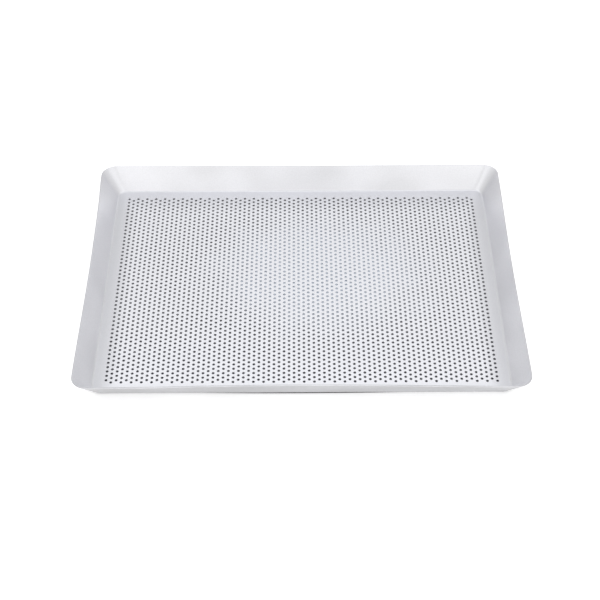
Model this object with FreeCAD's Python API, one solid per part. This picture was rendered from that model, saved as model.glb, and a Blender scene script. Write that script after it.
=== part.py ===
import FreeCAD, Part
import math
import os

# A flat perforated baking tray, pressed from one aluminium sheet.
# Millimetres. X is the long side, Y the short side with the front at -Y, Z is up.
# The origin is on the surface the tray stands on, under the middle of the base.
#
# The sheet is divided along its bends into nine solids that meet face to face:
# the perforated base, four sloping walls and four rounded corners.

# ---- driving dimensions ----
LENGTH = 400.0              # over the rim, along X
WIDTH = 300.0               # over the rim, along Y
HEIGHT = 23.6               # from the underside of the base to the top of the rim
SHEET = 1.2                 # sheet thickness
WALL_RUN = 15.0             # plan distance from a bend line out to the rim's outer edge
BEND_SETBACK = 1.5          # width of flat floor that each bend takes, in plan
RIM_CORNER_RADIUS = 14.0    # plan radius of the rim's outer edge
FLOOR_CORNER_RADIUS = 9.0   # plan radius of the bend line

HOLE_DIAMETER = 2.5
HOLE_PITCH = 5.2            # between neighbouring holes, in a 60 degree staggered pattern
COLUMNS = 78
HOLES_PER_COLUMN = 48

CORNER_SECTIONS = 46        # cross-sections that each corner is lofted through

# ---- sizes that follow from them ----
RISE = HEIGHT - SHEET
COLUMN_SPACING = HOLE_PITCH * math.sin(math.radians(60.0))
BEND_X = LENGTH / 2 - WALL_RUN      # the bend line, half its size each way
BEND_Y = WIDTH / 2 - WALL_RUN
CORNER_X = BEND_X - FLOOR_CORNER_RADIUS     # centre of the bend line's corner arc
CORNER_Y = BEND_Y - FLOOR_CORNER_RADIUS
BASE_X = BEND_X - BEND_SETBACK      # the flat base, half its size each way
BASE_Y = BEND_Y - BEND_SETBACK
SAME = 1e-6                         # closer than this, two places are one

Vector = FreeCAD.Vector


def wall_angle(run):
    """Slope of a wall, in radians, whose outer rim edge stands run outside its bend."""
    angle = math.radians(60.0)
    for _ in range(30):
        angle = math.atan2(RISE, run - SHEET * math.sin(angle))
    return angle


def wall_section(run, place):
    """The sheet's cross-section from the flat base to the rim, as a closed wire.

    It is drawn in u, outward from the bend line, and z. place turns u and z into a
    point in space. The bend's radii follow from its setback and the wall's slope."""
    angle = wall_angle(run)
    inside = BEND_SETBACK / math.tan(angle / 2)
    centre_u, centre_z = -BEND_SETBACK, SHEET + inside

    def bend_point(radius, turned):
        return place(centre_u + radius * math.sin(turned), centre_z - radius * math.cos(turned))

    def bend_arc(radius):
        return Part.Arc(bend_point(radius, 0), bend_point(radius, angle / 2),
                        bend_point(radius, angle)).toShape()

    rim_u = RISE / math.tan(angle)
    rim_inside = place(rim_u, HEIGHT)
    rim_outside = place(rim_u + SHEET * math.sin(angle), HEIGHT - SHEET * math.cos(angle))
    outside = inside + SHEET
    return Part.Wire([
        bend_arc(inside),
        Part.makeLine(bend_point(inside, angle), rim_inside),
        Part.makeLine(rim_inside, rim_outside),
        Part.makeLine(rim_outside, bend_point(outside, angle)),
        bend_arc(outside),
        Part.makeLine(bend_point(outside, 0), bend_point(inside, 0)),
    ])


def rim_distance(turned):
    """Plan distance from a corner's floor centre to the rim, in the direction turned.

    The rim's own arc is centred further out, by the same step along X and along Y."""
    to_wall = WALL_RUN + FLOOR_CORNER_RADIUS
    step = to_wall - RIM_CORNER_RADIUS
    lesser, greater = sorted((math.cos(turned), math.sin(turned)))
    if to_wall * lesser <= step * greater:
        return to_wall / greater
    along = step * (lesser + greater)
    return along + math.sqrt(along ** 2 - 2 * step ** 2 + RIM_CORNER_RADIUS ** 2)


def hole_strip(column):
    """The faces of one strip of the base, which holds one column of holes.

    Its two long sides are left out, because the neighbouring strips go on there."""
    middle = (column - (COLUMNS - 1) / 2) * COLUMN_SPACING
    left, right = middle - COLUMN_SPACING / 2, middle + COLUMN_SPACING / 2
    stagger = HOLE_PITCH / 4 if column % 2 == 0 else -HOLE_PITCH / 4
    outline = [Vector(left, -BASE_Y, 0), Vector(right, -BASE_Y, 0),
               Vector(right, BASE_Y, 0), Vector(left, BASE_Y, 0)]
    wires = [Part.makePolygon(outline + outline[:1])]
    for row in range(HOLES_PER_COLUMN):
        y = (row - (HOLES_PER_COLUMN - 1) / 2) * HOLE_PITCH + stagger
        hole = Part.Wire(Part.makeCircle(HOLE_DIAMETER / 2, Vector(middle, y, 0)))
        hole.reverse()
        wires.append(hole)
    solid = Part.Face(wires).extrude(Vector(0, 0, SHEET))
    return [face for face in solid.Faces if not stands_at(face, (left, right))]


def plain_margin(side):
    """The faces of the unperforated left or right margin, with its two round corners."""
    inner = side * COLUMNS * COLUMN_SPACING / 2
    radius = FLOOR_CORNER_RADIUS - BEND_SETBACK
    diagonal = radius * math.sqrt(0.5)
    points = {}
    for end in (-1, 1):
        points[end] = (Vector(side * CORNER_X, end * BASE_Y, 0),
                       Vector(side * (CORNER_X + diagonal), end * (CORNER_Y + diagonal), 0),
                       Vector(side * BASE_X, end * CORNER_Y, 0))
    front, back = points[-1], points[1]
    solid = Part.Face(Part.Wire([
        Part.makeLine(Vector(inner, -BASE_Y, 0), front[0]),
        Part.Arc(*front).toShape(),
        Part.makeLine(front[2], back[2]),
        Part.Arc(back[2], back[1], back[0]).toShape(),
        Part.makeLine(back[0], Vector(inner, BASE_Y, 0)),
        Part.makeLine(Vector(inner, BASE_Y, 0), Vector(inner, -BASE_Y, 0)),
    ])).extrude(Vector(0, 0, SHEET))
    return [face for face in solid.Faces if not stands_at(face, (inner,))]


def stands_at(face, places):
    """True if a face is flat and upright, across X, at one of these places."""
    box = face.BoundBox
    return box.XLength < SAME and any(abs(box.XMin - x) < SAME for x in places)


def base():
    """The flat base up to the bends' inner edge, with its staggered field of holes.

    It is one solid whose top and underside are divided into one strip a column."""
    faces = plain_margin(-1) + plain_margin(1)
    for column in range(COLUMNS):
        faces += hole_strip(column)
    shell = Part.makeShell(faces)
    shell.sewShape()
    return Part.makeSolid(shell)


def end_wall(side):
    """The left (side -1) or right (side 1) wall, between its two corners."""
    section = wall_section(WALL_RUN, lambda u, z: Vector(side * (BEND_X + u), -CORNER_Y, z))
    return Part.Face(section).extrude(Vector(0, 2 * CORNER_Y, 0))


def side_wall(side):
    """The front (side -1) or back (side 1) wall, between its two corners."""
    section = wall_section(WALL_RUN, lambda u, z: Vector(-CORNER_X, side * (BEND_Y + u), z))
    return Part.Face(section).extrude(Vector(2 * CORNER_X, 0, 0))


def corner(side, end):
    """One rounded corner, lofted through sections that fan out from its floor centre."""
    sections = []
    for number in range(CORNER_SECTIONS):
        turned = math.radians(90.0 * number / (CORNER_SECTIONS - 1))

        def place(u, z):
            reach = FLOOR_CORNER_RADIUS + u
            return Vector(side * (CORNER_X + reach * math.cos(turned)),
                          end * (CORNER_Y + reach * math.sin(turned)), z)

        sections.append(wall_section(rim_distance(turned) - FLOOR_CORNER_RADIUS, place))
    return Part.makeLoft(sections, True, False)


def build():
    parts = {
        "perforated_base": base(),
        "left_wall": end_wall(-1),
        "right_wall": end_wall(1),
        "front_wall": side_wall(-1),
        "back_wall": side_wall(1),
    }
    for end_name, end in (("front", -1), ("back", 1)):
        for side_name, side in (("left", -1), ("right", 1)):
            parts[f"{end_name}_{side_name}_corner"] = corner(side, end)
    return parts


os.makedirs("parts", exist_ok=True)
for name, shape in build().items():
    if shape.Volume < 0:
        shape.reverse()
    box = shape.BoundBox
    print(name, shape.ShapeType, "valid", shape.isValid(), f"{shape.Volume:.1f} mm3",
          f"{box.XLength:.2f} x {box.YLength:.2f} x {box.ZLength:.2f}")
    shape.exportStep(f"parts/{name}.step")
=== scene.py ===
"""A flat perforated baking tray of satin aluminium, standing on a pale studio floor."""
import math

import bpy
import numpy as np
from mathutils import Matrix, Vector


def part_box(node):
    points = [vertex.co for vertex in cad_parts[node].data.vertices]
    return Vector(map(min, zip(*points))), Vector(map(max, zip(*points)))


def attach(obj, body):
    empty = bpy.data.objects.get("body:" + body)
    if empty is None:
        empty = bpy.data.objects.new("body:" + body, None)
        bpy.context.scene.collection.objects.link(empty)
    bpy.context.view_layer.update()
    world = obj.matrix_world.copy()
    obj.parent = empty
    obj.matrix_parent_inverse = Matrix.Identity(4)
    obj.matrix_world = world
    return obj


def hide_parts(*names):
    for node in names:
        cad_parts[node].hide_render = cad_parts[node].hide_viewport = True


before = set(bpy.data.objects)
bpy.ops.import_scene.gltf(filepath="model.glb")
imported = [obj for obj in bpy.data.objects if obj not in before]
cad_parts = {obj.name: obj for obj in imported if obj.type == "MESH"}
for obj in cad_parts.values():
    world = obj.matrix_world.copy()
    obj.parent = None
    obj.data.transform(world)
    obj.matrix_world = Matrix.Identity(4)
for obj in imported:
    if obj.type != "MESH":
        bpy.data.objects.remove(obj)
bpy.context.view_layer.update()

MM = 0.001

# ---- sizes, read from the frame ----
BASE_LOW, BASE_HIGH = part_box("perforated_base")
SHEET = BASE_HIGH.z - BASE_LOW.z
FLOOR_X, FLOOR_Y = BASE_HIGH.x, BASE_HIGH.y     # the flat floor, half its size each way
CORNER_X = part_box("front_wall")[1].x            # where the straight walls end
CORNER_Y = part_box("left_wall")[1].y
RIM_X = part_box("right_wall")[1].x               # outside of the rim, half its size
RIM_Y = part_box("back_wall")[1].y
RIM_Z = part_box("back_wall")[1].z

# ---- sizes the frame's boxes don't give ----
BEND_SETBACK = 1.5 * MM          # flat floor that each bend takes
RIM_CORNER_RADIUS = 14.0 * MM
FLOOR_CORNER_RADIUS = FLOOR_X - CORNER_X + BEND_SETBACK
HOLE_RADIUS = 1.25 * MM
HOLE_PITCH = 5.2 * MM            # in a 60 degree staggered pattern
COLUMN_SPACING = HOLE_PITCH * math.sin(math.radians(60.0))
COLUMNS = 78
HOLES_PER_COLUMN = 48
PUNCH_ROLL = 0.10 * MM           # rounding that the punch leaves round each hole
EDGE_ROUND = 0.28 * MM           # rounding of the trimmed rim edge
END_BOW = 1.5 * MM               # how far each run of rim springs in at its middle
FRONT_BOW = 1.8 * MM
BACK_BOW = 2.0 * MM
FLARE = 1.2 * MM                 # how far the left wall's rim springs out near its back corner
FLARE_PLACE = 16.0 * MM          # how far in front of the rim's back it does so the most
FLARE_REACH = 26.0 * MM          # and how far along the rim it fades from there

# ---- how finely the meshes are drawn ----
CORNER_STOPS = 18                # points round each corner, both ends included
END_STEPS, LONG_STEPS = 40, 56   # along the end walls and the long walls
BEND_POINTS = 8                  # across the section: each side of the bend,
WALL_POINTS = 7                  # each side of the wall,
EDGE_POINTS = 5                  # and each rounding of the trimmed edge
HOLE_SIDES = 16                  # hole_cell's fans suit this number
MERGE = 1e-7                     # points closer than this are one

# ---- the flat layout of the sheet's faces ----
LAYOUT_NAME = "OFBake"
LAYOUT_EDGE = 0.01               # left free round it, as a share of the whole
WALL_BANDS = 4                   # the walls are cut into this many bands
BORE_RINGS = (0.9, 0.5)          # where a hole's lip and bore end on it, as shares of its radius

# ---- finish, with painted shade and painted light: every loss, gain and painted shade is a share of the metal's brightness ----
METAL_COLOUR = (0.80, 0.80, 0.82)
WALL_FROM, WALL_TO = 1.2 * MM, 2.4 * MM          # heights between which the walls' takes over
WALL_PAINTED_LIGHT = 0.10                 # painted light: the walls are this much brighter than the floor painted shade: and the underside and outside this much darker by the Z of their normals
OUTSIDE_PAINTED_SHADE = 0.44              # and the underside and outside this much duller
OUTSIDE_FROM, OUTSIDE_TO = -0.1, -0.4            # by the Z of their normals
EDGE_LOSS = 0.30                 # of the trimmed rim edge
EDGE_FROM, EDGE_TO = 3.0 * MM, 4.0 * MM          # which lies above these heights
EDGE_UP_FROM, EDGE_UP_TO = 0.64, 0.78            # and whose normal's Z is more than a wall's
END_PAINTED_SHADE = 0.26               # painted shade on the floor's end margins, beside the end walls
END_SHADE_FROM, END_SHADE_TO = 160.0 * MM, 184.0 * MM
BACK_PAINTED_SHADE = 0.20              # painted shade on its back margin, below the back wall
BACK_SHADE_FROM, BACK_SHADE_TO = 95.0 * MM, 133.0 * MM
FRONT_PAINTED_SHADE = 0.08             # painted shade on its front margin
FRONT_SHADE_FROM, FRONT_SHADE_TO = -123.0 * MM, -133.0 * MM
WALL_PAINTED_SHADE = 0.16              # painted shade on the end walls' inside, beside the back corners, dimming the back wall's reflection there
WALL_SHADE_FROM, WALL_SHADE_TO = 84.0 * MM, 126.0 * MM
WALL_ACROSS_FROM, WALL_ACROSS_TO = 0.45, 0.75    # by the X of its normal, either way,
WALL_UP_FROM, WALL_UP_TO = 0.0, 0.2              # and the Z
NOISE_LOW, NOISE_HIGH = 0.3, 0.7 # nearly all of a noise texture lies between these
NOISE_ROUGHNESS = 0.55
CLOUD_SCALE = 26.0
CLOUD_STRETCH = (1.0, 1.0, 1.6)
CLOUDING = 0.05                  # how much the long walls' brightness varies, each way
END_CLOUDING = 0.02              # and the end walls'
WAVE_HEIGHT = 0.25 * MM          # of the walls' faint waviness
GRAIN_SCALE = 900.0
GRAIN_DETAIL = 2.0
GRAIN_HEIGHT = 0.02 * MM
GRAIN_STRENGTH = 0.25
MOTTLING = 0.03                  # how much the grain varies the brightness, each way
FLOOR_ROUGHNESS = (0.40, 0.46)
WALL_ROUGHNESS = (0.33, 0.43)

# ---- stage and light ----
PAPER_COLOUR = (0.95, 0.95, 0.95)
PAPER_GLOW = 0.42                # light that the paper gives off itself, as if lit from below
PAPER_HALF = 6.0                 # half its size, in metres
PAPER_Z = -0.3 * MM
CARD_FRONT = (0.10, 0.10, 0.11, 1)               # the card's colour, painted shade seen through the holes, at the tray's front, from its middle to its back, and in the oval, a painted pool of light
CARD_BACK = (0.22, 0.22, 0.23, 1)                # from its middle to its back,
CARD_PALE = (0.68, 0.74, 0.82, 1)                # and in the oval
CARD_INSET = 4.0 * MM            # from the flat floor's edge
CARD_Z = -0.1 * MM
PALE_X, PALE_Y = 105.0 * MM, 78.0 * MM           # half the size of the card's paler oval, a painted pool of light
PALE_MIDDLE = (20.0 * MM, 18.0 * MM, 0.0)
PALE_FROM, PALE_TO = 0.45, 1.3   # where the oval starts to fade and is gone, as shares of its size
PALE_RAGGED = 0.18               # how much that varies, each way
PALE_RAGGED_SCALE, PALE_RAGGED_DETAIL = 30.0, 3.0
SHADOW_COLOUR = (0.03, 0.03, 0.03)
SHADOW_HALF = 150.0 * MM         # of the contact shadow in front, half its length
SHADOW_REACH = 2.5 * MM          # how far it comes out from the flat floor
SHADOW_UNDER = 3.0 * MM          # and how far it goes under it
SHADOW_POINTS = 41               # along each of its two long sides
MATT_ROUGHNESS = 0.9
ROOM_LIGHT = 0.81
HORIZON_LIGHT = 1.05             # as bright as the paper, so that the horizon doesn't show
HORIZON_FROM, HORIZON_TO = 0.02, 0.12            # heights of a direction that it fades between
COOL = (0.95, 0.98, 1.06)        # tint of the lamps above and behind

# ---- the camera ----
CAMERA_FILM = 36.0               # mm
CAMERA_LENS = 79.89              # mm
CAMERA_FAR = 20.0                # metres
CAMERA_RISE = 45.17              # degrees above the floor
CAMERA_TURN = 0.160              # degrees
CAMERA_ROLL = -0.132             # degrees
# where the middle of the floor lies from the camera: to the right, down and away
CAMERA_OFFSET = (0.977 * MM, -15.438 * MM, 1265.03 * MM)


# ---------------------------------------------------------------- the sheet's walls
def inside_of(run, rise):
    """Plan distance from a bend to the rim's inner edge, if its outer edge stands run outside."""
    angle = math.radians(60.0)           # a first guess, which the loop corrects
    for _ in range(30):
        angle = math.atan2(rise, run - SHEET * math.sin(angle))
    return run - SHEET * math.sin(angle)


def arc(centre, radius, start, stop, count):
    """Points and outward directions along an arc in the u-z plane, both ends included."""
    turned = np.linspace(start, stop, count)
    out = np.stack([np.cos(turned), np.sin(turned)], 1)
    return np.asarray(centre) + radius * out, out


def wall_profile(run, bow):
    """The sheet's section: rows of (u, z, normal u, normal z), from floor top round to underside.

    u is outward from the bend line. bow leans the wall in about its bend, at the same length."""
    rise = RIM_Z - SHEET
    inside_run = inside_of(run, rise)
    slant = math.hypot(rise, inside_run)
    inside_run -= bow
    rise = math.sqrt(slant ** 2 - inside_run ** 2)
    angle = math.atan2(rise, inside_run)
    inside = BEND_SETBACK / math.tan(angle / 2)
    centre = np.array([-BEND_SETBACK, SHEET + inside])
    down = -math.pi / 2
    along = np.array([math.cos(angle), math.sin(angle)])
    outward = np.array([math.sin(angle), -math.cos(angle)])
    top = np.array([inside_run, SHEET + rise])
    rows = []

    def add(points, normals):
        rows.extend(np.hstack([points, np.broadcast_to(normals, points.shape)]))

    def straight(a, b, normal, count):
        steps = np.linspace(0.0, 1.0, count + 2)[1:-1, None]
        add(a * (1 - steps) + b * steps, normal)

    points, out = arc(centre, inside, down, down + angle, BEND_POINTS)
    add(points, -out)
    first = points[-1]
    last = top - along * EDGE_ROUND
    straight(first, last, -outward, WALL_POINTS)
    edge = math.atan2(-outward[1], -outward[0])
    points, out = arc(last + outward * EDGE_ROUND, EDGE_ROUND,
                      edge, edge - math.pi / 2, EDGE_POINTS)
    add(points, out)
    points, out = arc(last + outward * (SHEET - EDGE_ROUND), EDGE_ROUND,
                      edge - math.pi / 2, edge - math.pi, EDGE_POINTS)
    add(points, out)
    outer = rows[-1][:2]
    points, out = arc(centre, inside + SHEET, down + angle, down, BEND_POINTS)
    straight(outer, points[0], outward, WALL_POINTS)
    add(points, out)
    return np.array(rows)


def stations():
    """Stops round the sheet, from the right wall's front end and anticlockwise from above.

    Each is its floor bend point, the directions outward and sideways, then the rim's distance
    along each of them, and the bow."""
    rim_cx, rim_cy = RIM_X - RIM_CORNER_RADIUS, RIM_Y - RIM_CORNER_RADIUS
    stops = []

    def stop(floor, rim, out, bow):
        floor, rim, out = (np.array(place, float) for place in (floor, rim, out))
        from_flare = math.hypot(rim[0] + RIM_X, rim[1] - RIM_Y + FLARE_PLACE)
        rim[0] -= FLARE * math.exp(-(from_flare / FLARE_REACH) ** 2)
        side = np.array([-out[1], out[0]])
        away = rim - floor
        stops.append((floor, out, side, away @ out, away @ side, bow))

    bend_x, bend_y = CORNER_X + FLOOR_CORNER_RADIUS, CORNER_Y + FLOOR_CORNER_RADIUS
    walls = [(1, 0, END_BOW, END_STEPS), (0, 1, BACK_BOW, LONG_STEPS),
             (-1, 0, END_BOW, END_STEPS), (0, -1, FRONT_BOW, LONG_STEPS)]
    for number, (ox, oy, bow, count) in enumerate(walls):
        half_floor = CORNER_Y if ox else CORNER_X
        half_rim = rim_cy if ox else rim_cx
        bend, rim = (bend_x, RIM_X) if ox else (bend_y, RIM_Y)
        sx, sy = -oy, ox
        for along in np.linspace(-1.0, 1.0, count + 1):
            stop((ox * bend + sx * along * half_floor, oy * bend + sy * along * half_floor),
                 (ox * rim + sx * along * half_rim, oy * rim + sy * along * half_rim),
                 (ox, oy), bow * (1 - along ** 2) ** 2)
        turn = number * math.pi / 2
        signs = ((1, 1), (-1, 1), (-1, -1), (1, -1))[number]
        for step in np.linspace(0.0, math.pi / 2, CORNER_STOPS)[1:-1]:
            out = (math.cos(turn + step), math.sin(turn + step))
            stop((signs[0] * CORNER_X + FLOOR_CORNER_RADIUS * out[0],
                  signs[1] * CORNER_Y + FLOOR_CORNER_RADIUS * out[1]),
                 (signs[0] * rim_cx + RIM_CORNER_RADIUS * out[0],
                  signs[1] * rim_cy + RIM_CORNER_RADIUS * out[1]), out, 0.0)
    return stops


def sheet_walls():
    """The four sloping walls, their bends and corners, as one closed band of sheet."""
    points, profile_tangents = [], []
    for floor, out, side, run, lean, bow in stations():
        profile = wall_profile(run, bow)
        u, z = profile[:, 0], profile[:, 1]
        normal_u, normal_z = profile[:, 2], profile[:, 3]
        share = np.clip(u / run, 0.0, None)
        plan = floor + np.outer(u, out) + np.outer(share * lean, side)
        points.append(np.column_stack([plan, z]))
        rate = np.where(u > 0, lean / run, 0.0) * normal_z
        tangent = np.outer(normal_z, out) + np.outer(rate, side)
        profile_tangents.append(np.column_stack([tangent, -normal_u]))
    points, tangents = np.array(points), np.array(profile_tangents)
    around = np.roll(points, -1, 0) - np.roll(points, 1, 0)
    normals = np.cross(tangents, around)
    normals /= np.linalg.norm(normals, axis=2, keepdims=True)
    stops, rows = points.shape[:2]
    faces, face_normals, uvs = [], [], []
    for a in range(stops):
        b = (a + 1) % stops
        band, across = divmod(a * WALL_BANDS, stops)
        for row in range(rows):
            nxt = (row + 1) % rows
            loop = ((a, row), (a, nxt), (b, nxt), (b, row))
            faces.append([s * rows + r for s, r in loop])
            for turned, along in ((0, row), (0, row + 1), (1, row + 1), (1, row)):
                uvs.append(((across + turned * WALL_BANDS) / (stops + WALL_BANDS),
                            (band + (1 - 2 * LAYOUT_EDGE) * along / rows) / WALL_BANDS))
            if nxt:
                face_normals.extend(normals[s, r] for s, r in loop)
            else:                                # the inner end, which meets the floor's edge
                corners = [points[s, r] for s, r in loop]
                flat = np.cross(corners[1] - corners[0], corners[2] - corners[0])
                face_normals.extend([flat / np.linalg.norm(flat)] * 4)
    return points.reshape(-1, 3), faces, np.array(face_normals), uvs


# ---------------------------------------------------------------- the perforated floor
HALF_CELL_X, HALF_CELL_Y = COLUMN_SPACING / 2, HOLE_PITCH / 2
UP, DOWN = (0.0, 0.0, 1.0), (0.0, 0.0, -1.0)


def hole_cell():
    """One punched hole and the sheet round it, about the hole's own centre.

    Returns its points and its faces, then a normal and a flat place for each corner of each
    face. The cell is a rectangle with a point half-way up each side, where the staggered
    neighbours' corners lie. A flat place is x, y and 1 on the underside, 0 elsewhere, with
    the bore drawn in as rings inside the hole."""
    outline = [(HALF_CELL_X, 0), (HALF_CELL_X, HALF_CELL_Y), (-HALF_CELL_X, HALF_CELL_Y),
               (-HALF_CELL_X, 0), (-HALF_CELL_X, -HALF_CELL_Y), (HALF_CELL_X, -HALF_CELL_Y)]
    facing = [0, 2, 6, 8, 10, 14, HOLE_SIDES]    # the ring side that each outline point faces
    turned = np.arange(HOLE_SIDES) * 2 * math.pi / HOLE_SIDES
    out = np.stack([np.cos(turned), np.sin(turned)], 1)
    lip = [(x, y, SHEET) for x, y in (HOLE_RADIUS + PUNCH_ROLL) * out]
    bore_top = [(x, y, SHEET - PUNCH_ROLL) for x, y in HOLE_RADIUS * out]
    bore_end = [(x, y, 0.0) for x, y in HOLE_RADIUS * out]
    points = lip + bore_top + bore_end
    first_lip, first_top, first_end = 0, HOLE_SIDES, 2 * HOLE_SIDES
    faces, normals, places = [], [], []
    for z, first, normal in ((SHEET, first_lip, UP), (0.0, first_end, DOWN)):
        first_outline = len(points)
        points += [(x, y, z) for x, y in outline]
        for number in range(6):
            corner = first_outline + number
            following = first_outline + (number + 1) % 6
            fan = [first + side % HOLE_SIDES
                   for side in range(facing[number], facing[number + 1] + 1)]
            patches = [(corner, b, a) for a, b in zip(fan, fan[1:])]
            patches.append((corner, following, fan[-1]))
            for patch in patches:
                faces.append(patch if normal is UP else patch[::-1])
                normals += [normal] * 3
                places += [(*points[corner][:2], normal is DOWN) for corner in faces[-1]]
    rings = (HOLE_RADIUS + PUNCH_ROLL, *(share * HOLE_RADIUS for share in BORE_RINGS))
    for side in range(HOLE_SIDES):
        nxt = (side + 1) % HOLE_SIDES
        inward, inward_next = ((*-out[end], 0.0) for end in (side, nxt))
        faces.append((first_lip + side, first_lip + nxt, first_top + nxt, first_top + side))
        normals += [UP, UP, inward_next, inward]
        faces.append((first_top + side, first_top + nxt, first_end + nxt, first_end + side))
        normals += [inward, inward_next, inward_next, inward]
        for outer, inner in zip(rings, rings[1:]):
            places += [(*(radius * out[end]), 0) for radius, end in
                       ((outer, side), (outer, nxt), (inner, nxt), (inner, side))]
    return np.array(points), faces, np.array(normals), np.array(places, float)


def column_front(column):
    """The y of the front edge of a column's first hole cell."""
    stagger = HOLE_PITCH / 4 if column % 2 == 0 else -HOLE_PITCH / 4
    return stagger - HOLES_PER_COLUMN / 2 * HOLE_PITCH


def column_margins(column):
    """The plain sheet in front of and behind one column, as two outlines seen from above."""
    left = (column - COLUMNS / 2) * COLUMN_SPACING
    right = left + COLUMN_SPACING
    front, beside = column_front(column), column_front(column + 1)
    back, beside_back = (y + HOLES_PER_COLUMN * HOLE_PITCH for y in (front, beside))
    before = [(right, front), (left, front)]
    behind = [(left, back), (right, back)]
    if beside < front:                   # the neighbours' corners lie on this margin's sides
        before = [(right, beside)] + before + [(left, beside)]
    else:
        behind = [(left, beside_back)] + behind + [(right, beside_back)]
    return ([(left, -FLOOR_Y), (right, -FLOOR_Y)] + before,
            behind + [(right, FLOOR_Y), (left, FLOOR_Y)])


def end_margin(side):
    """The plain sheet beside the first or last column, with its two rounded corners."""
    column = 0 if side < 0 else COLUMNS - 1
    inner = side * COLUMNS / 2 * COLUMN_SPACING
    front, beside = column_front(column), column_front(column + 1)
    heights = {front + half * HALF_CELL_Y for half in range(2 * HOLES_PER_COLUMN + 1)}
    heights |= {-FLOOR_Y, FLOOR_Y, min(front, beside),
                max(front, beside) + HOLES_PER_COLUMN * HOLE_PITCH}
    inner_edge = [(inner, y) for y in sorted(heights)]
    radius = FLOOR_CORNER_RADIUS - BEND_SETBACK
    quarter = [(side * (CORNER_X + radius * math.cos(turn)), CORNER_Y + radius * math.sin(turn))
               for turn in np.linspace(0.0, math.pi / 2, CORNER_STOPS)]
    outer_edge = [(x, -y) for x, y in reversed(quarter)] + quarter
    outline = inner_edge[::-1] + outer_edge
    return outline if side > 0 else outline[::-1]


def floor_part(first, last):
    """The floor's columns from first up to last, closed round its edges, with their margins."""
    cell_points, cell_faces, cell_normals, cell_places = hole_cell()
    centres = [((column - (COLUMNS - 1) / 2) * COLUMN_SPACING,
                column_front(column) + (row + 0.5) * HOLE_PITCH, 0.0)
               for column in range(first, last) for row in range(HOLES_PER_COLUMN)]
    points = list((np.array(centres)[:, None] + cell_points).reshape(-1, 3))
    size = len(cell_points)
    faces = [[size * cell + corner for corner in face]
             for cell in range(len(centres)) for face in cell_faces]
    normals = list(np.tile(cell_normals, (len(centres), 1)))
    places = list((np.array(centres)[:, None] + cell_places).reshape(-1, 3))
    outlines = [outline for column in range(first, last) for outline in column_margins(column)]
    outlines += [end_margin(side) for side, own in ((-1, first == 0), (1, last == COLUMNS)) if own]
    for outline in outlines:
        for z, normal in ((SHEET, UP), (0.0, DOWN)):
            ring = [(x, y, z) for x, y in outline]
            faces.append(range(len(points), len(points) + len(ring)))
            ring = ring if normal is UP else ring[::-1]
            points += ring
            normals += [normal] * len(ring)
            places += [(x, y, normal is DOWN) for x, y, _ in ring]
    points, faces = merged(np.array(points), faces)
    close_sides(points, faces, normals, places)
    low, high = points.min(0), points.max(0)
    x, y, under = np.array(places).T
    inner = 1 - 2 * LAYOUT_EDGE
    uvs = np.column_stack([
        (LAYOUT_EDGE + inner * (x - low[0]) / (high[0] - low[0]) + under) / 2,
        LAYOUT_EDGE + inner * (y - low[1]) / (high[1] - low[1])])
    return points, faces, np.array(normals), uvs


def merged(points, faces):
    """The same faces on points that neighbours share."""
    grid = np.round(points / MERGE).astype(np.int64)
    _, first, where = np.unique(grid, axis=0, return_index=True, return_inverse=True)
    where = where.ravel()
    return points[first], [[int(where[corner]) for corner in face] for face in faces]


def close_sides(points, faces, normals, places):
    """Adds the upright edge of the sheet wherever its top face ends."""
    under = {(round(x / MERGE), round(y / MERGE)): number
             for number, (x, y, z) in enumerate(points) if z < SHEET / 2}
    top_edges = set()
    for face in faces:
        if all(points[corner][2] > SHEET - MERGE for corner in face):
            top_edges.update(zip(face, face[1:] + face[:1]))
    for a, b in sorted(top_edges):
        (ax, ay, _), (bx, by, _) = points[a], points[b]
        keys = [(round(x / MERGE), round(y / MERGE)) for x, y in ((ax, ay), (bx, by))]
        if (b, a) in top_edges or keys[0] not in under or keys[1] not in under:
            continue
        faces.append([b, a, under[keys[0]], under[keys[1]]])
        length = math.hypot(bx - ax, by - ay)
        normals += [((by - ay) / length, (ax - bx) / length, 0.0)] * 4
        places += [(bx, by, 0), (ax, ay, 0), (ax, ay, 0), (bx, by, 0)]


def mesh_piece(name, points, faces, normals, uvs, material, slot="aluminium_sheet"):
    """A mesh object with its own corner normals and flat layout, riding on the part."""
    mesh = bpy.data.meshes.new(name)
    mesh.from_pydata([tuple(p) for p in points], [], [tuple(f) for f in faces])
    layout = mesh.uv_layers.new(name=LAYOUT_NAME)
    layout.data.foreach_set("uv", np.asarray(uvs, np.float32).ravel())
    mesh.shade_smooth()
    mesh.normals_split_custom_set([tuple(n) for n in normals])
    mesh.materials.append(material)
    piece = bpy.data.objects.new(name, mesh)
    bpy.context.scene.collection.objects.link(piece)
    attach(piece, "root")
    return piece


# ---------------------------------------------------------------- materials
def new_material(name):
    material = bpy.data.materials.new(name)
    material.use_nodes = True
    nodes = material.node_tree.nodes
    return material, nodes, material.node_tree.links, nodes["Principled BSDF"]


def noise_at(nodes, links, place, scale, detail):
    noise = nodes.new("ShaderNodeTexNoise")
    noise.inputs["Scale"].default_value = scale
    noise.inputs["Detail"].default_value = detail
    noise.inputs["Roughness"].default_value = NOISE_ROUGHNESS
    links.new(place, noise.inputs["Vector"])
    return noise.outputs["Fac"]


def mapped(nodes, links, value, from_low, from_high, to_low, to_high, smooth=False):
    """A node that carries a value's range onto another, and holds it at both ends."""
    ramp = nodes.new("ShaderNodeMapRange")
    if smooth:
        ramp.interpolation_type = "SMOOTHSTEP"
    for key, number in (("From Min", from_low), ("From Max", from_high),
                        ("To Min", to_low), ("To Max", to_high)):
        ramp.inputs[key].default_value = number
    links.new(value, ramp.inputs["Value"])
    return ramp.outputs["Result"]


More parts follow.
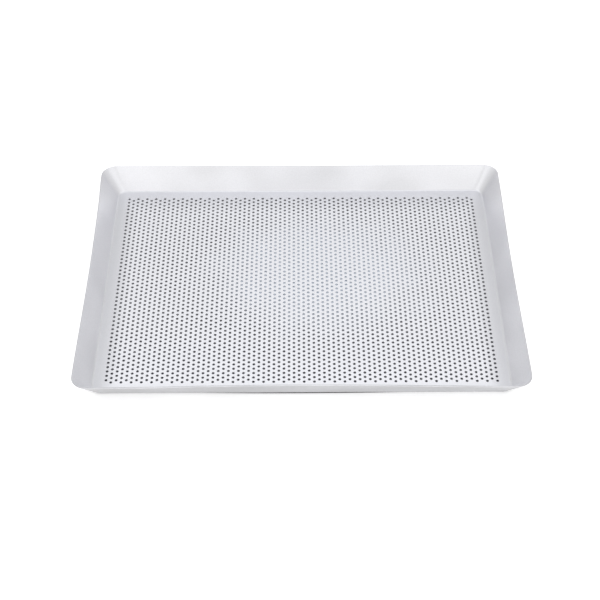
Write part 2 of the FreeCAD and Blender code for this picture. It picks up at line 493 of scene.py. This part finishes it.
def spread(nodes, links, noise, low, high):
    """Carries a noise value onto low to high."""
    return mapped(nodes, links, noise, NOISE_LOW, NOISE_HIGH, low, high)


def separated(nodes, links, place):
    """The X, Y and Z of a place or direction."""
    node = nodes.new("ShaderNodeSeparateXYZ")
    links.new(place, node.inputs["Vector"])
    return node.outputs


def maths(nodes, links, operation, *values):
    """Arithmetic on numbers and nodes' outputs."""
    node = nodes.new("ShaderNodeMath")
    node.operation = operation
    for socket, value in zip(node.inputs, values):
        if isinstance(value, (int, float)):
            socket.default_value = value
        else:
            links.new(value, socket)
    return node.outputs[0]


def blended(nodes, links, share, first, second):
    """A colour between first and second, each either a colour or another node's colour."""
    node = nodes.new("ShaderNodeMix")
    node.data_type = "RGBA"
    links.new(share, node.inputs[0])
    for socket, colour in zip(node.inputs[6:8], (first, second)):
        if isinstance(colour, tuple):
            socket.default_value = colour
        else:
            links.new(colour, socket)
    return node.outputs[2]


def stretched(nodes, links, place, scale):
    node = nodes.new("ShaderNodeMapping")
    node.inputs["Scale"].default_value = scale
    links.new(place, node.inputs["Vector"])
    return node.outputs["Vector"]


def brightness(nodes, links, place, on_wall, cloud, grain):
    """How bright the metal is painted at each place, about 1 on the open floor, with painted shade
    and painted light in it.
    """
    def ramp(value, low, high, to_low, to_high, smooth=False):
        return mapped(nodes, links, value, low, high, to_low, to_high, smooth)

    def combined(operation, first, second):
        return maths(nodes, links, operation, first, second)

    facing = separated(nodes, links, nodes.new("ShaderNodeTexCoord").outputs["Normal"])
    from_middle = maths(nodes, links, "ABSOLUTE", place["X"])

    # painted shade: the floor's margins are darker than the rest of it
    shade_at_end = ramp(from_middle, END_SHADE_FROM, END_SHADE_TO, 0.0, END_PAINTED_SHADE, True)
    shade_at_back = ramp(place["Y"], BACK_SHADE_FROM, BACK_SHADE_TO, 0.0, BACK_PAINTED_SHADE, True)
    shade_at_front = ramp(place["Y"], FRONT_SHADE_FROM, FRONT_SHADE_TO, 0.0, FRONT_PAINTED_SHADE, True)
    margins = combined("MAXIMUM", shade_at_end, combined("MAXIMUM", shade_at_back, shade_at_front))
    margins = combined("MULTIPLY", margins, combined("SUBTRACT", 1.0, on_wall))

    # painted shade on the outside and on the inside of the end walls near the back, and a darker
    # trimmed edge
    outside = ramp(facing["Z"], OUTSIDE_FROM, OUTSIDE_TO, 0.0, OUTSIDE_PAINTED_SHADE)
    trimmed = combined("MULTIPLY", ramp(place["Z"], EDGE_FROM, EDGE_TO, 0.0, EDGE_LOSS),
                       ramp(facing["Z"], EDGE_UP_FROM, EDGE_UP_TO, 0.0, 1.0))
    shade_near_back = ramp(place["Y"], WALL_SHADE_FROM, WALL_SHADE_TO, 0.0, WALL_PAINTED_SHADE, True)
    across = ramp(maths(nodes, links, "ABSOLUTE", facing["X"]),
                  WALL_ACROSS_FROM, WALL_ACROSS_TO, 0.0, 1.0)
    inside = ramp(facing["Z"], WALL_UP_FROM, WALL_UP_TO, 0.0, 1.0)
    end_wall_shade = combined("MULTIPLY", combined("MULTIPLY", shade_near_back, across), inside)
    lost = combined("ADD", combined("ADD", combined("ADD", margins, outside), trimmed), end_wall_shade)

    # painted light: the walls are a little brighter; and they are cloudy
    painted_light = ramp(on_wall, 0.0, 1.0, 1.0, 1.0 + WALL_PAINTED_LIGHT)
    clouds = combined("MULTIPLY", spread(nodes, links, cloud, -1.0, 1.0), on_wall)
    clouds = combined("MULTIPLY", clouds,
                      ramp(from_middle, CORNER_X, FLOOR_X, CLOUDING, END_CLOUDING))
    bright = combined("ADD", combined("SUBTRACT", painted_light, lost), clouds)
    return combined("MULTIPLY", bright, spread(nodes, links, grain, 1 - MOTTLING, 1 + MOTTLING))


def satin_aluminium():
    """Sheet that is matt and grainy on the floor, smoother and slightly wavy on the walls, its
    colour carrying painted shade and painted light.
    """
    material, nodes, links, shader = new_material("satin_aluminium")
    here = nodes.new("ShaderNodeTexCoord").outputs["Object"]
    place = separated(nodes, links, here)
    on_wall = mapped(nodes, links, place["Z"], WALL_FROM, WALL_TO, 0.0, 1.0, smooth=True)
    cloud = noise_at(nodes, links, stretched(nodes, links, here, CLOUD_STRETCH), CLOUD_SCALE, 0.0)
    grain = noise_at(nodes, links, here, GRAIN_SCALE, GRAIN_DETAIL)

    colour = nodes.new("ShaderNodeVectorMath")
    colour.operation = "SCALE"
    colour.inputs[0].default_value = METAL_COLOUR
    links.new(brightness(nodes, links, place, on_wall, cloud, grain), colour.inputs["Scale"])
    links.new(colour.outputs["Vector"], shader.inputs["Base Color"])
    shader.inputs["Metallic"].default_value = 1.0

    rough = nodes.new("ShaderNodeMix")
    links.new(on_wall, rough.inputs["Factor"])
    links.new(spread(nodes, links, cloud, *FLOOR_ROUGHNESS), rough.inputs["A"])
    links.new(spread(nodes, links, cloud, *WALL_ROUGHNESS), rough.inputs["B"])
    links.new(rough.outputs["Result"], shader.inputs["Roughness"])

    wave = nodes.new("ShaderNodeBump")
    wave.inputs["Distance"].default_value = WAVE_HEIGHT
    links.new(on_wall, wave.inputs["Strength"])
    links.new(cloud, wave.inputs["Height"])
    fine = nodes.new("ShaderNodeBump")
    fine.inputs["Strength"].default_value = GRAIN_STRENGTH
    fine.inputs["Distance"].default_value = GRAIN_HEIGHT
    links.new(grain, fine.inputs["Height"])
    links.new(wave.outputs["Normal"], fine.inputs["Normal"])
    links.new(fine.outputs["Normal"], shader.inputs["Normal"])
    return material


# ---------------------------------------------------------------- the tray
# The floor is in three, so that each mesh is small enough to be exported as it is.
FLOOR_PARTS = ("perforated_floor_left", "perforated_floor_middle", "perforated_floor_right")
PART_COLUMNS = COLUMNS // len(FLOOR_PARTS)
metal = satin_aluminium()
for number, part_name in enumerate(FLOOR_PARTS):
    part_mesh = floor_part(number * PART_COLUMNS, (number + 1) * PART_COLUMNS)
    floor_piece = mesh_piece(part_name, *part_mesh, metal)
    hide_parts("perforated_base")
walls = mesh_piece("sloping_walls", *sheet_walls(), metal)
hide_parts("front_wall", "back_wall", "left_wall", "right_wall", "front_left_corner",
            "front_right_corner", "back_left_corner", "back_right_corner")


# ---------------------------------------------------------------- stage, light and camera
def stage_plane(name, half_x, half_y, z, material):
    mesh = bpy.data.meshes.new(name)
    mesh.from_pydata([(-half_x, -half_y, z), (half_x, -half_y, z), (half_x, half_y, z),
                      (-half_x, half_y, z)], [], [(0, 1, 2, 3)])
    mesh.materials.append(material)
    plane = bpy.data.objects.new(name, mesh)
    bpy.context.scene.collection.objects.link(plane)


def contact_shadow():
    """The dark line under the front bend, widest at its middle."""
    along = np.linspace(-1.0, 1.0, SHADOW_POINTS)
    front = [(x * SHADOW_HALF, -FLOOR_Y - SHADOW_REACH * (1 - x * x), CARD_Z) for x in along]
    back = [(x, -FLOOR_Y + SHADOW_UNDER, z) for x, _, z in reversed(front)]
    mesh = bpy.data.meshes.new("contact_shadow")
    mesh.from_pydata(front + back, [], [tuple(range(len(front + back)))])
    mesh.materials.append(plain("contact_shadow", SHADOW_COLOUR))
    shadow = bpy.data.objects.new("contact_shadow", mesh)
    bpy.context.scene.collection.objects.link(shadow)


def make_matt(shader):
    shader.inputs["Roughness"].default_value = MATT_ROUGHNESS
    shader.inputs["Specular IOR Level"].default_value = 0.0


def plain(name, colour, glow=0.0):
    """A matt material of one colour. glow is the white light that it gives off itself."""
    material, _, _, shader = new_material(name)
    shader.inputs["Base Color"].default_value = (*colour, 1)
    if glow:
        shader.inputs["Emission Color"].default_value = (1, 1, 1, 1)
        shader.inputs["Emission Strength"].default_value = glow
    make_matt(shader)
    return material


def painted_shade_and_light_card():
    """The card under the tray, seen through the holes: painted shade, darker at the front, with a
    painted pool of light, paler and bluer, in an oval round its middle.
    """
    material, nodes, links, shader = new_material("painted_shade_and_light_card")
    place = nodes.new("ShaderNodeTexCoord").outputs["Object"]
    aside = nodes.new("ShaderNodeVectorMath")
    aside.operation = "SUBTRACT"
    links.new(place, aside.inputs[0])
    aside.inputs[1].default_value = PALE_MIDDLE
    from_oval = nodes.new("ShaderNodeVectorMath")
    from_oval.operation = "LENGTH"
    links.new(stretched(nodes, links, aside.outputs["Vector"], (1 / PALE_X, 1 / PALE_Y, 1.0)),
              from_oval.inputs[0])
    ragged = noise_at(nodes, links, place, PALE_RAGGED_SCALE, PALE_RAGGED_DETAIL)
    ragged = spread(nodes, links, ragged, -PALE_RAGGED, PALE_RAGGED)
    away = maths(nodes, links, "ADD", from_oval.outputs["Value"], ragged)
    pale = mapped(nodes, links, away, PALE_FROM, PALE_TO, 1.0, 0.0, smooth=True)
    backward = mapped(nodes, links, separated(nodes, links, place)["Y"], -FLOOR_Y, 0.0, 0.0, 1.0,
                      smooth=True)
    dark = blended(nodes, links, backward, CARD_FRONT, CARD_BACK)
    links.new(blended(nodes, links, pale, dark, CARD_PALE), shader.inputs["Base Color"])
    make_matt(shader)
    return material


def studio_world():
    """Even light from the whole room, a little brighter at the horizon."""
    world = bpy.data.worlds.new("studio")
    world.use_nodes = True
    nodes, links = world.node_tree.nodes, world.node_tree.links
    direction = separated(nodes, links, nodes.new("ShaderNodeTexCoord").outputs["Generated"])
    level = mapped(nodes, links, direction["Z"], HORIZON_FROM, HORIZON_TO,
                   HORIZON_LIGHT, ROOM_LIGHT, smooth=True)
    nodes["Background"].inputs["Color"].default_value = (1, 1, 1, 1)
    links.new(level, nodes["Background"].inputs["Strength"])
    bpy.context.scene.world = world


def softbox(name, place, aim, width, height, radiance, tint=(1.0, 1.0, 1.0)):
    """A rectangular lamp facing aim. radiance is how bright a mirror would show it."""
    data = bpy.data.lights.new(name, "AREA")
    data.shape = "RECTANGLE"
    data.size, data.size_y = width, height
    data.energy = radiance * math.pi * width * height
    data.color = tint
    lamp = bpy.data.objects.new(name, data)
    lamp.location = place
    lamp.rotation_euler = (Vector(aim) - Vector(place)).to_track_quat("-Z", "Y").to_euler()
    bpy.context.scene.collection.objects.link(lamp)


stage_plane("studio_floor", PAPER_HALF, PAPER_HALF, PAPER_Z,
            plain("studio_paper", PAPER_COLOUR, PAPER_GLOW))
# a card of painted shade under the tray, seen through the holes, with a painted pool of light
stage_plane("painted_shade_card", FLOOR_X - CARD_INSET, FLOOR_Y - CARD_INSET, CARD_Z, painted_shade_and_light_card())
contact_shadow()
studio_world()
bpy.context.scene.view_settings.view_transform = "Standard"
softbox("overhead_softbox", (0.0, 0.10, 0.95), (0.0, 0.0, 0.0), 1.1, 0.9, 0.69, COOL)
softbox("back_softbox", (0.0, 0.95, 0.75), (0.0, 0.0, 0.0), 1.2, 0.5, 0.27, COOL)
softbox("left_softbox", (-0.75, -1.15, 0.50), (0.0, 0.1, 0.0), 0.8, 0.8, 0.70)
softbox("right_softbox", (0.75, -1.15, 0.50), (0.0, 0.1, 0.0), 0.8, 0.8, 0.62)


def camera():
    """The view of the tray from its front, a little over 45 degrees up."""
    data = bpy.data.cameras.new("camera")
    data.sensor_width = CAMERA_FILM
    data.lens = CAMERA_LENS
    data.clip_end = CAMERA_FAR
    rise, turn, roll = (math.radians(a) for a in (CAMERA_RISE, CAMERA_TURN, CAMERA_ROLL))

    # the view's own axes are to the right, down and away
    look = Matrix(((1, 0, 0),
                   (0, -math.sin(rise), -math.cos(rise)),
                   (0, math.cos(rise), -math.sin(rise))))
    rolled, turned = (Matrix(((math.cos(angle), -math.sin(angle), 0),
                              (math.sin(angle), math.cos(angle), 0),
                              (0, 0, 1))) for angle in (roll, turn))
    to_view = rolled @ look @ turned
    flip = Matrix(((1, 0, 0), (0, -1, 0), (0, 0, -1)))       # Blender's are right, up and back
    rotation = to_view.transposed() @ flip
    place = -(to_view.transposed() @ Vector(CAMERA_OFFSET)) + Vector((0, 0, SHEET))
    obj = bpy.data.objects.new("camera", data)
    obj.matrix_world = Matrix.Translation(place) @ rotation.to_4x4()
    bpy.context.scene.collection.objects.link(obj)
    bpy.context.scene.camera = obj


camera()
